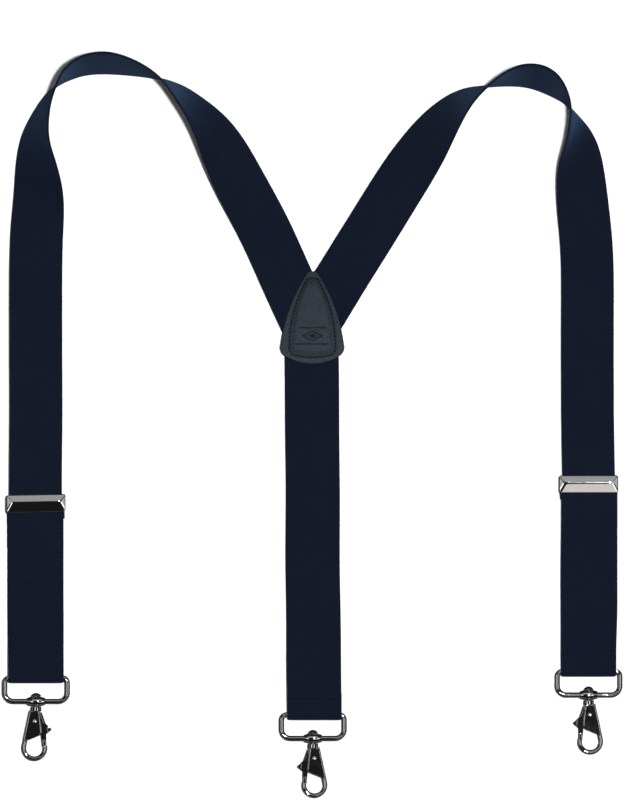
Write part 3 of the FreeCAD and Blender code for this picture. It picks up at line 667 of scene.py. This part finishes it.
def back_strap():
    """From under the patch down to the back clip, round its wire, and the sewn tail."""
    x, wire_y, wire_z = joint_at["back_loop_swing"]
    radius = FRONT_MIDDLE - wire_z
    tail_z = FRONT_MIDDLE - STRAP_THICK - LAYER_PLAY
    tail_low, tail_high = wire_y + BACK_TAIL_LOW, wire_y + BACK_TAIL_HIGH
    profile = run((BACK_TOP_Y, BACK_MIDDLE), (BACK_RISE_FROM_Y, BACK_MIDDLE))
    profile += run((BACK_RISE_FROM_Y, BACK_MIDDLE), (BACK_RISE_TO_Y, FRONT_MIDDLE), step=0.004)
    profile += run((BACK_RISE_TO_Y, FRONT_MIDDLE), (wire_y, FRONT_MIDDLE), step=0.002)
    profile += turn(wire_y, wire_z, radius, 90, 270)
    profile += run((wire_y, REAR_MIDDLE), (tail_low, REAR_MIDDLE), step=0.001)[1:]
    profile += run((tail_low, REAR_MIDDLE), (tail_high, tail_z), step=0.0007)
    profile += run((tail_high, tail_z), (BACK_TAIL_END_Y, tail_z), step=0.002)
    profile.append((BACK_TAIL_END_Y, tail_z))
    stations = []
    for middle, across, face, distance, _ in profile_stations(x, profile, WIDTH_BACK):
        lean = BACK_LEAN * (0.5 - clamped((middle.y - BACK_BEND_LOW_Y) / BACK_BEND_RUN))
        drift = Vector((lean + wander(distance, 5.0, BACK_DRIFT), 0, 0))
        width = WIDTH_BACK + wander(distance, 1.0, BACK_WIDTH_DRIFT)
        stations.append((middle + drift, across, face, distance, width))
    made = ribbon("back_strap_webbing", stations)
    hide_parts("back_strap")
    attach(made, "harness")


# ---------------------------------------------------------------- thread

STITCH_RINGS = 8
STITCH_SIDES = 8
STITCH_RISE = 0.00034  # height of its middle at the top of its bow
STITCH_SINK = 0.00045  # and depth at its ends
THIN_END = 0.75  # thickness of a thread at its ends, to 1 at its middle
SEAM_OFFSET = 0.0004  # a row across a strap starts this far in
SEAM_LIFT = 0.00005  # above the underside of the CAD thread


def stitches(name, node, body, runs):
    """Threads along runs of (start, end): each comes up from a hole and goes down again."""
    up = Vector((0, 0, 1))
    points, faces = [], []
    for start, end in runs:
        base = len(points)
        across = (end - start).cross(up).normalized()
        for i in range(STITCH_RINGS + 1):
            share = i / STITCH_RINGS
            bow = math.sin(math.pi * share)
            lift = -STITCH_SINK + (STITCH_SINK + STITCH_RISE) * math.sqrt(max(bow, 0.0))
            swell = THREAD_RADIUS * (THIN_END + (1 - THIN_END) * bow)
            middle = start + (end - start) * share + up * lift
            for k in range(STITCH_SIDES):
                angle = 2 * math.pi * k / STITCH_SIDES
                points.append(middle + (across * math.cos(angle) + up * math.sin(angle)) * swell)
        for i in range(STITCH_RINGS):
            for k in range(STITCH_SIDES):
                after = (k + 1) % STITCH_SIDES
                here, there = base + i * STITCH_SIDES, base + (i + 1) * STITCH_SIDES
                faces.append((here + k, here + after, there + after, there + k))
        faces.append(tuple(base + k for k in range(STITCH_SIDES)))
        last = base + STITCH_RINGS * STITCH_SIDES
        faces.append(tuple(last + k for k in range(STITCH_SIDES)))
    made = piece(name, points, faces, THREAD)
    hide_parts(node)
    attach(made, body)


def cross_seam(name, node, x, body):
    """A row of stitches straight across a strap."""
    low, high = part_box(node)
    count = round((high.x - low.x) / STITCH_PITCH)
    runs = []
    for i in range(count):
        start_x = x + (i - count / 2) * STITCH_PITCH + SEAM_OFFSET
        start = Vector((start_x, middle_y(node), low.z + SEAM_LIFT))
        runs.append((start, start + Vector((STITCH_LENGTH, 0, 0))))
    stitches(name, node, body, runs)


# ---------------------------------------------------------------- leather patch

SEGMENT_STEPS = (14, 88, 26, 32)  # along each half outline: tip, side, corner, bottom
MARGIN_RINGS, MARGIN_CROWDING = 16, 1.4  # a power over 1 crowds rings towards the rim
PANEL_RINGS, PANEL_CROWDING = 62, 1.15  # and towards the seam
EDGE_ROUND = 0.0007
WALL_SHARES = (0.30, 0.70)  # heights of the rings up the rim's wall
UNDERSIDE_INSET = 0.12  # how far towards the middle the underside's ring lies
PATCH_SAG, PATCH_SAG_RUN = 0.0030, 0.0034  # how it droops beside the straps
BACK_END_Y = 0.08  # above this the patch lies on the front straps only
SEAM_GROOVE = 0.00036
SEAM_GROOVE_WIDTH = 0.0009
PANEL_START, PANEL_SHOULDER = 0.0006, 0.0042  # where the panel's climb starts, and its run
PANEL_CROWN, PANEL_CROWN_RUN = 0.00035, 0.012
# Painted shade: width and darkness of the seam's darkened crease, and darkness of the ornament's
# grooves.
CREASE_WIDTH, CREASE_SHADE = 0.00070, 0.45
PRESSED_SHADE = 0.85
ENGRAVING_DEPTH = 0.00040
GROOVE_WIDTH = 0.00050
LOZENGE_HALF = (0.0066, 0.0034)
LOZENGE_SIZE, LOZENGE_CORE = 0.0030, 0.35  # its edge to middle, and the share of its inner one
ENGRAVED_BARS = ((0.0056, 0.0095), (-0.0056, 0.0112))  # (height, half length)


def arc_through(start, via, end, steps):
    """Points of the arc through three points, leaving out the last one."""
    (ax, ay), (bx, by), (cx, cy) = start, via, end
    twice = 2 * (ax * (by - cy) + bx * (cy - ay) + cx * (ay - by))
    if abs(twice) < 1e-12:
        return [(ax + (cx - ax) * i / steps, ay + (cy - ay) * i / steps) for i in range(steps)]
    a2, b2, c2 = ax * ax + ay * ay, bx * bx + by * by, cx * cx + cy * cy
    ox = (a2 * (by - cy) + b2 * (cy - ay) + c2 * (ay - by)) / twice
    oy = (a2 * (cx - bx) + b2 * (ax - cx) + c2 * (bx - ax)) / twice
    radius = math.hypot(ax - ox, ay - oy)
    first = math.atan2(ay - oy, ax - ox)
    middle = math.atan2(by - oy, bx - ox) - first
    sweep = math.atan2(cy - oy, cx - ox) - first
    full = 2 * math.pi
    middle, sweep = middle % full, sweep % full
    if middle > sweep:
        sweep -= full
    angles = [first + sweep * i / steps for i in range(steps)]
    return [(ox + radius * math.cos(angle), oy + radius * math.sin(angle)) for angle in angles]


TIP_ROUNDING = (0.62, 0.78)  # where the tip's arc passes, as shares of its half width and height
BOTTOM_SAG = 0.25  # how little the bottom edge has risen halfway to its corner


def half_outline(top_middle, top, side_via, widest, corner_via, corner, bottom_y):
    """The right half of a teardrop, from its top middle to its bottom middle."""
    tip, side, bend, low = SEGMENT_STEPS
    rounding = (top[0] / 2, top[1])
    if top_middle[1] > top[1]:
        across, up = TIP_ROUNDING
        rounding = (across * top[0], top[1] + up * (top_middle[1] - top[1]))
    made = arc_through(top_middle, rounding, top, tip)
    made += arc_through(top, side_via, widest, side)
    made += arc_through(widest, corner_via, corner, bend)
    sag_y = bottom_y + BOTTOM_SAG * (corner[1] - bottom_y)
    made += arc_through(corner, (corner[0] / 2, sag_y), (0, bottom_y), low)
    return made + [(0, bottom_y)]


def whole_outline(*corners):
    """A whole teardrop, clockwise from its top middle, as points at height 0."""
    right = half_outline(*corners)
    left = [(-px, py) for px, py in right[-2:0:-1]]
    return [Vector((px, py, 0)) for px, py in right + left]


def beyond_straps(x, y):
    """How far a point of the patch is outside the straps that it lies on."""
    back = abs(x - BACK_X) - WIDTH_BACK / 2 if y < BACK_END_Y else abs(x) + y - BACK_END_Y
    gaps = [back]
    for foot, way in ((LEFT_ROUTE[-1], LEFT_END), (RIGHT_ROUTE[0], RIGHT_START)):
        off = (x - foot[0]) * way.y - (y - foot[1]) * way.x
        gaps.append(abs(off) - WIDTH_BACK / 2)
    return max(0.0, min(gaps))


def engraving(x, y):
    """Depth of a plain pressed ornament: a lozenge between two fine bars."""
    x, y = x - PATCH_CENTRE[0], y - PATCH_CENTRE[1]
    lozenge = abs(x) / LOZENGE_HALF[0] + abs(y) / LOZENGE_HALF[1]
    away = [(lozenge - 1) * LOZENGE_SIZE, max(lozenge - LOZENGE_CORE, 0) * LOZENGE_SIZE]
    for bar_y, half in ENGRAVED_BARS:
        away.append(math.hypot(max(abs(x) - half, 0.0), y - bar_y))
    return ENGRAVING_DEPTH * max(0.0, *(1 - (distance / GROOVE_WIDTH) ** 2 for distance in away))


def patch_support(p):
    """Height of the front leather's underside, which droops beside the straps."""
    drop = 1 - math.exp(-((beyond_straps(p.x, p.y) / PATCH_SAG_RUN) ** 2))
    return PATCH_LOW - PATCH_SAG * drop


def seam_dip(distance):
    return -SEAM_GROOVE * math.exp(-((distance / SEAM_GROOVE_WIDTH) ** 2))


def margin_ring(outer, seam, share):
    """A ring of the stitched margin, from the rim at share 0 to the seam at 1."""
    ring = []
    for rim, sewn in zip(outer, seam):
        p = rim.lerp(sewn, share**MARGIN_CROWDING)
        near = max(0.0, 1 - (p - rim).length / EDGE_ROUND)
        rounding = EDGE_ROUND * (1 - math.sqrt(max(0.0, 1 - near * near)))
        z = patch_support(p) + LEATHER - rounding + seam_dip((p - sewn).length)
        ring.append(Vector((p.x, p.y, z)))
    return ring


def panel_ring(seam, share):
    """A ring of the raised panel, from the seam at share 0 to the middle at 1."""
    ring = []
    for sewn in seam:
        p = sewn.lerp(Vector((*PATCH_CENTRE, 0)), share**PANEL_CROWDING)
        inside = (p - sewn).length
        climb = smoothstep(clamped((inside - PANEL_START) / PANEL_SHOULDER))
        crown = PANEL_CROWN * min(1.0, inside / PANEL_CROWN_RUN)
        z = patch_support(p) + LEATHER + PAD_RISE * climb + crown * climb + seam_dip(inside)
        ring.append(Vector((p.x, p.y, z - engraving(p.x, p.y))))
    return ring


def patch_shades(points, seam):
    """How much painted shade darkens each point: in the seam's crease and in the pressed ornament.
    """
    nearest = KDTree(len(seam))
    for k, p in enumerate(seam):
        nearest.insert((p.x, p.y, 0), k)
    nearest.balance()
    shades = []
    for p in points:
        to_seam = nearest.find((p.x, p.y, 0))[2]
        crease = CREASE_SHADE * math.exp(-((to_seam / CREASE_WIDTH) ** 2))
        shades.append(max(PRESSED_SHADE * engraving(p.x, p.y) / ENGRAVING_DEPTH, crease))
    return shades


def patch_front():
    """The front leather: rounded rim, stitched margin and a raised panel."""
    corners = PATCH_SIDE_VIA, PATCH_WIDEST, PATCH_CORNER_VIA, PATCH_CORNER, PATCH_BOTTOM_Y
    outer = whole_outline(PATCH_TOP, PATCH_TIP, *corners)
    corners = SEAM_SIDE_VIA, SEAM_WIDEST, SEAM_CORNER_VIA, SEAM_CORNER, SEAM_BOTTOM_Y
    seam = whole_outline((0, SEAM_TOP[1]), SEAM_TOP, *corners)
    centre = Vector((*PATCH_CENTRE, 0))
    around = len(outer)
    rings = []
    for share in (0, *WALL_SHARES):
        up = share * (LEATHER - EDGE_ROUND)
        rings.append([Vector((p.x, p.y, patch_support(p) + up)) for p in outer])
    rings += [margin_ring(outer, seam, i / MARGIN_RINGS) for i in range(MARGIN_RINGS + 1)]
    rings += [panel_ring(seam, i / PANEL_RINGS) for i in range(1, PANEL_RINGS)]
    points = [p for ring in rings for p in ring]
    top_hub = len(points)
    top = PATCH_LOW + LEATHER + PAD_RISE + PANEL_CROWN - engraving(*PATCH_CENTRE)
    points.append(Vector((*PATCH_CENTRE, top)))
    under = len(points)
    for p in outer:
        inner = p.lerp(centre, UNDERSIDE_INSET)
        points.append(Vector((inner.x, inner.y, patch_support(p))))
    low_hub = len(points)
    points.append(Vector((*PATCH_CENTRE, PATCH_LOW)))

    faces = []
    innermost = (len(rings) - 1) * around
    for here in range(0, innermost, around):
        there = here + around
        for k in range(around):
            after = (k + 1) % around
            faces.append((here + k, here + after, there + after, there + k))
    for k in range(around):
        after = (k + 1) % around
        faces.append((innermost + k, innermost + after, top_hub))
        faces.append((after, k, under + k, under + after))
        faces.append((under + after, under + k, low_hub))
    # The painted shade of the crease and the ornament reaches the leather on the UV's first value.
    shades = patch_shades(points, seam)
    uv = [(shades[k], 0.0) for face in faces for k in face]
    made = piece("leather_patch", points, faces, PATCH_LEATHER, uv)
    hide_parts("patch_front")
    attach(made, "harness")
    sew_patch(seam)


FIRST_STITCH = 0.12  # share of the pitch before each stitch
STITCH_LIFT = 0.0001  # above the groove's floor


def sew_patch(seam):
    """Stitches at an even pitch round the patch's seam."""
    closed = seam + seam[:1]
    lengths = [0.0]
    for here, there in zip(closed, closed[1:]):
        lengths.append(lengths[-1] + (there - here).length)
    count = round(lengths[-1] / STITCH_PITCH)
    pitch = lengths[-1] / count

    def at(distance):
        i = int(np.searchsorted(lengths, distance % lengths[-1], side="right")) - 1
        i = min(i, len(seam) - 1)
        share = (distance % lengths[-1] - lengths[i]) / (lengths[i + 1] - lengths[i])
        p = closed[i].lerp(closed[i + 1], share)
        return Vector((p.x, p.y, patch_support(p) + LEATHER - SEAM_GROOVE + STITCH_LIFT))

    firsts = [(i + FIRST_STITCH) * pitch for i in range(count)]
    runs = [(at(first), at(first + STITCH_LENGTH)) for first in firsts]
    stitches("patch_thread", "patch_stitching", "harness", runs)


# ---------------------------------------------------------------- slides

def rounded_corner(x, y, half_x, half_y):
    """Moves a point of a rectangle so that its corners become round."""
    over_x = abs(x) - (half_x - COVER_CORNER)
    over_y = abs(y) - (half_y - COVER_CORNER)
    if over_x <= 0 or over_y <= 0:
        return x, y
    pull = max(over_x, over_y) / math.hypot(over_x, over_y)
    return (
        math.copysign(half_x - COVER_CORNER + over_x * pull, x),
        math.copysign(half_y - COVER_CORNER + over_y * pull, y),
    )


def softly_least(values):
    """The least of some heights, blended over where they are nearly the same."""
    return -COVER_BLEND * math.log(sum(math.exp(-value / COVER_BLEND) for value in values))


def slide_cover(side):
    """The pressed front plate: low walls, two long slopes that meet in a ridge, hipped ends."""
    low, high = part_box(side + "_slide_cover")
    centre_x, centre_y = (low.x + high.x) / 2, (low.y + high.y) / 2
    half_x, half_y = (high.x - low.x) / 2, (high.y - low.y) / 2
    depth = high.y - low.y
    rise = COVER_RIDGE - COVER_EAVE
    skew = COVER_SKEW if side == "left" else 0.0
    points, faces = [], []
    for j in range(COVER_ROWS + 1):
        for i in range(COVER_COLUMNS + 1):
            x = half_x * math.sin(math.pi * (i / COVER_COLUMNS - 0.5))
            y = -half_y + depth * j / COVER_ROWS
            x, y = rounded_corner(x, y, half_x, half_y)
            up, down, inward = y + half_y, half_y - y, half_x - abs(x)
            slopes = (
                rise * up / (COVER_RIDGE_SHARE * depth),
                rise * down / ((1 - COVER_RIDGE_SHARE) * depth),
                rise * inward / COVER_HIP,
            )
            over_x = COVER_CORNER - min(inward, COVER_CORNER)
            over_y = COVER_CORNER - min(up, down, COVER_CORNER)
            to_corner = max(0.0, COVER_CORNER - math.hypot(over_x, over_y))
            near = 1 - clamped(min(inward, up, down, to_corner) / COVER_BEVEL)
            rounding = COVER_BEVEL * (1 - math.sqrt(1 - near * near))
            height = COVER_EAVE + softly_least(slopes) + COVER_BLEND - rounding
            points.append((centre_x + x, centre_y + y + skew * x, low.z + height))
    row = COVER_COLUMNS + 1
    for j in range(COVER_ROWS):
        for i in range(COVER_COLUMNS):
            here = j * row + i
            faces.append((here, here + 1, here + row + 1, here + row))
    rim = list(range(row)) + [j * row + COVER_COLUMNS for j in range(1, COVER_ROWS + 1)]
    rim += [COVER_ROWS * row + i for i in range(COVER_COLUMNS - 1, -1, -1)]
    rim += [j * row for j in range(COVER_ROWS - 1, 0, -1)]
    foot = len(points)
    points += [(points[k][0], points[k][1], low.z) for k in rim]
    for k in range(len(rim)):
        after = (k + 1) % len(rim)
        faces.append((rim[k], foot + k, foot + after, rim[after]))
    made = piece(side + "_slide_plate", points, faces, PLATE)
    shell = made.modifiers.new("wall", "SOLIDIFY")
    shell.thickness = COVER_WALL
    shell.offset = -1
    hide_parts(side + "_slide_cover")
    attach(made, side + "_slide")


# ---------------------------------------------------------------- stage

# Brightness of the surroundings by height: 0 straight down, 0.5 level, 1 straight up.
SKY = [(0.0, 0.03), (1.0, 0.012), (0.46, 0.03), (0.50, 0.45), (0.53, 0.35), (0.58, 0.014)]
# Lights: name, place, size, power in watts, tint. Each one aims at the origin.
WHITE = (1, 1, 1)
LIGHTS = [
    ("key", (0.50, 0.25, 4.97), (0.28, 0.28), 305.0, WHITE),
    ("rear_panel", (0.0, 0.74, 1.50), (1.6, 0.90), 1.90, WHITE),
    ("front_panel", (0.36, -0.66, 1.42), (0.62, 0.30), 0.50, (1.0, 0.93, 0.88)),
    ("hip_panel", (-1.15, 0.08, 1.42), (0.40, 0.60), 0.40, WHITE),
    ("glint_panel", (-0.72, -0.30, 1.45), (0.46, 0.28), 0.75, WHITE),
    ("hip_panel", (1.15, 0.08, 1.42), (0.40, 0.60), 0.40, WHITE),
    ("glint_panel", (0.72, -0.30, 1.45), (0.46, 0.28), 0.75, WHITE),
]
# The camera looks straight down from far off: middle and width of what it sees.
VIEW_CENTRE = (0.0001, 0.0171)
VIEW_SPAN = 0.5544
LENS = 800.0
SENSOR = 36.0
FLOOR_HALF = 3.5
FLOOR_DEPTH = 0.0003  # it lies this far under the part


def add_light(name, place, size, power, tint):
    data = bpy.data.lights.new(name, "AREA")
    data.shape = "RECTANGLE"
    data.size, data.size_y = size
    data.energy = power
    data.color = tint
    made = bpy.data.objects.new(name, data)
    made.location = place
    made.rotation_euler = (-Vector(place)).to_track_quat("-Z", "Y").to_euler()
    made.visible_camera = False
    bpy.context.scene.collection.objects.link(made)


def add_floor():
    mesh = bpy.data.meshes.new("floor")
    corners = ((-1, -1), (1, -1), (1, 1), (-1, 1))
    points = [(x * FLOOR_HALF, y * FLOOR_HALF, -FLOOR_DEPTH) for x, y in corners]
    mesh.from_pydata(points, [], [(0, 1, 2, 3)])
    floor = bpy.data.objects.new("floor", mesh)
    bpy.context.scene.collection.objects.link(floor)
    made = Shader("white_table")
    paper = made.noise(scale=40, detail=3)
    made.to("Base Color", made.mix(paper, colour(0.88, 0.88, 0.88), colour(0.90, 0.90, 0.90)))
    made.set(Roughness=0.9, Specular_IOR_Level=0.1)
    mesh.materials.append(made.material)
    floor.visible_glossy = False  # the plating mirrors the dark sky instead


def add_sky():
    world = bpy.data.worlds.new("studio")
    bpy.context.scene.world = world
    world.use_nodes = True
    tree = world.node_tree
    where = tree.nodes.new("ShaderNodeTexCoord")
    split = tree.nodes.new("ShaderNodeSeparateXYZ")
    ramp = tree.nodes.new("ShaderNodeValToRGB")
    ramp.color_ramp.interpolation = "EASE"
    for index, (height, strength) in enumerate(SKY):
        stops = ramp.color_ramp.elements
        stop = stops[index] if index < 2 else stops.new(height)
        stop.position = height
        stop.color = (strength, strength, strength, 1)
    lift = tree.nodes.new("ShaderNodeMath")
    lift.operation = "MULTIPLY_ADD"
    lift.inputs[1].default_value = lift.inputs[2].default_value = 0.5
    tree.links.new(where.outputs["Generated"], split.inputs[0])
    tree.links.new(split.outputs["Z"], lift.inputs[0])
    tree.links.new(lift.outputs[0], ramp.inputs["Fac"])
    tree.links.new(ramp.outputs["Color"], tree.nodes["Background"].inputs["Strength"])
    tree.nodes["Background"].inputs["Color"].default_value = (1, 1, 1, 1)


def add_camera():
    data = bpy.data.cameras.new("camera")
    data.lens, data.sensor_width = LENS, SENSOR
    distance = VIEW_SPAN * LENS / SENSOR
    data.clip_end = 2 * distance
    camera = bpy.data.objects.new("camera", data)
    camera.location = (*VIEW_CENTRE, distance)
    bpy.context.scene.collection.objects.link(camera)
    bpy.context.scene.camera = camera
    bpy.context.scene.view_settings.view_transform = "Standard"


def finish_cad_nodes():
    """Gives every carried-over CAD node its finished material."""
    for name, node in nodes.items():
        if node.hide_render:
            continue
        if name == "patch_backing":
            material = PATCH_LEATHER
        elif name == "patch_pad":
            material = BOARD
        elif name.endswith(("slide_frame", "grip_bar", "gate_spring")):
            material = STEEL
        elif "strap" in name or "layer" in name:
            material = WEBBING
        elif "stitching" in name:
            material = THREAD
        else:
            material = CHROME
        node.data.materials.clear()
        node.data.materials.append(material)


for side, strap_x in (("left", LEFT_X), ("right", RIGHT_X)):
    front_strap(side)
    strap_turn(side)
    strap_return(side)
    slide_cover(side)
    cross_seam(side + "_end_thread", side + "_end_stitching", strap_x, side + "_slide")
back_strap()
cross_seam("tail_thread", "back_strap_stitching", BACK_X, "harness")
patch_front()
finish_cad_nodes()
add_floor()
add_sky()
for light in LIGHTS:
    add_light(*light)
add_camera()

bpy.context.view_layer.update()
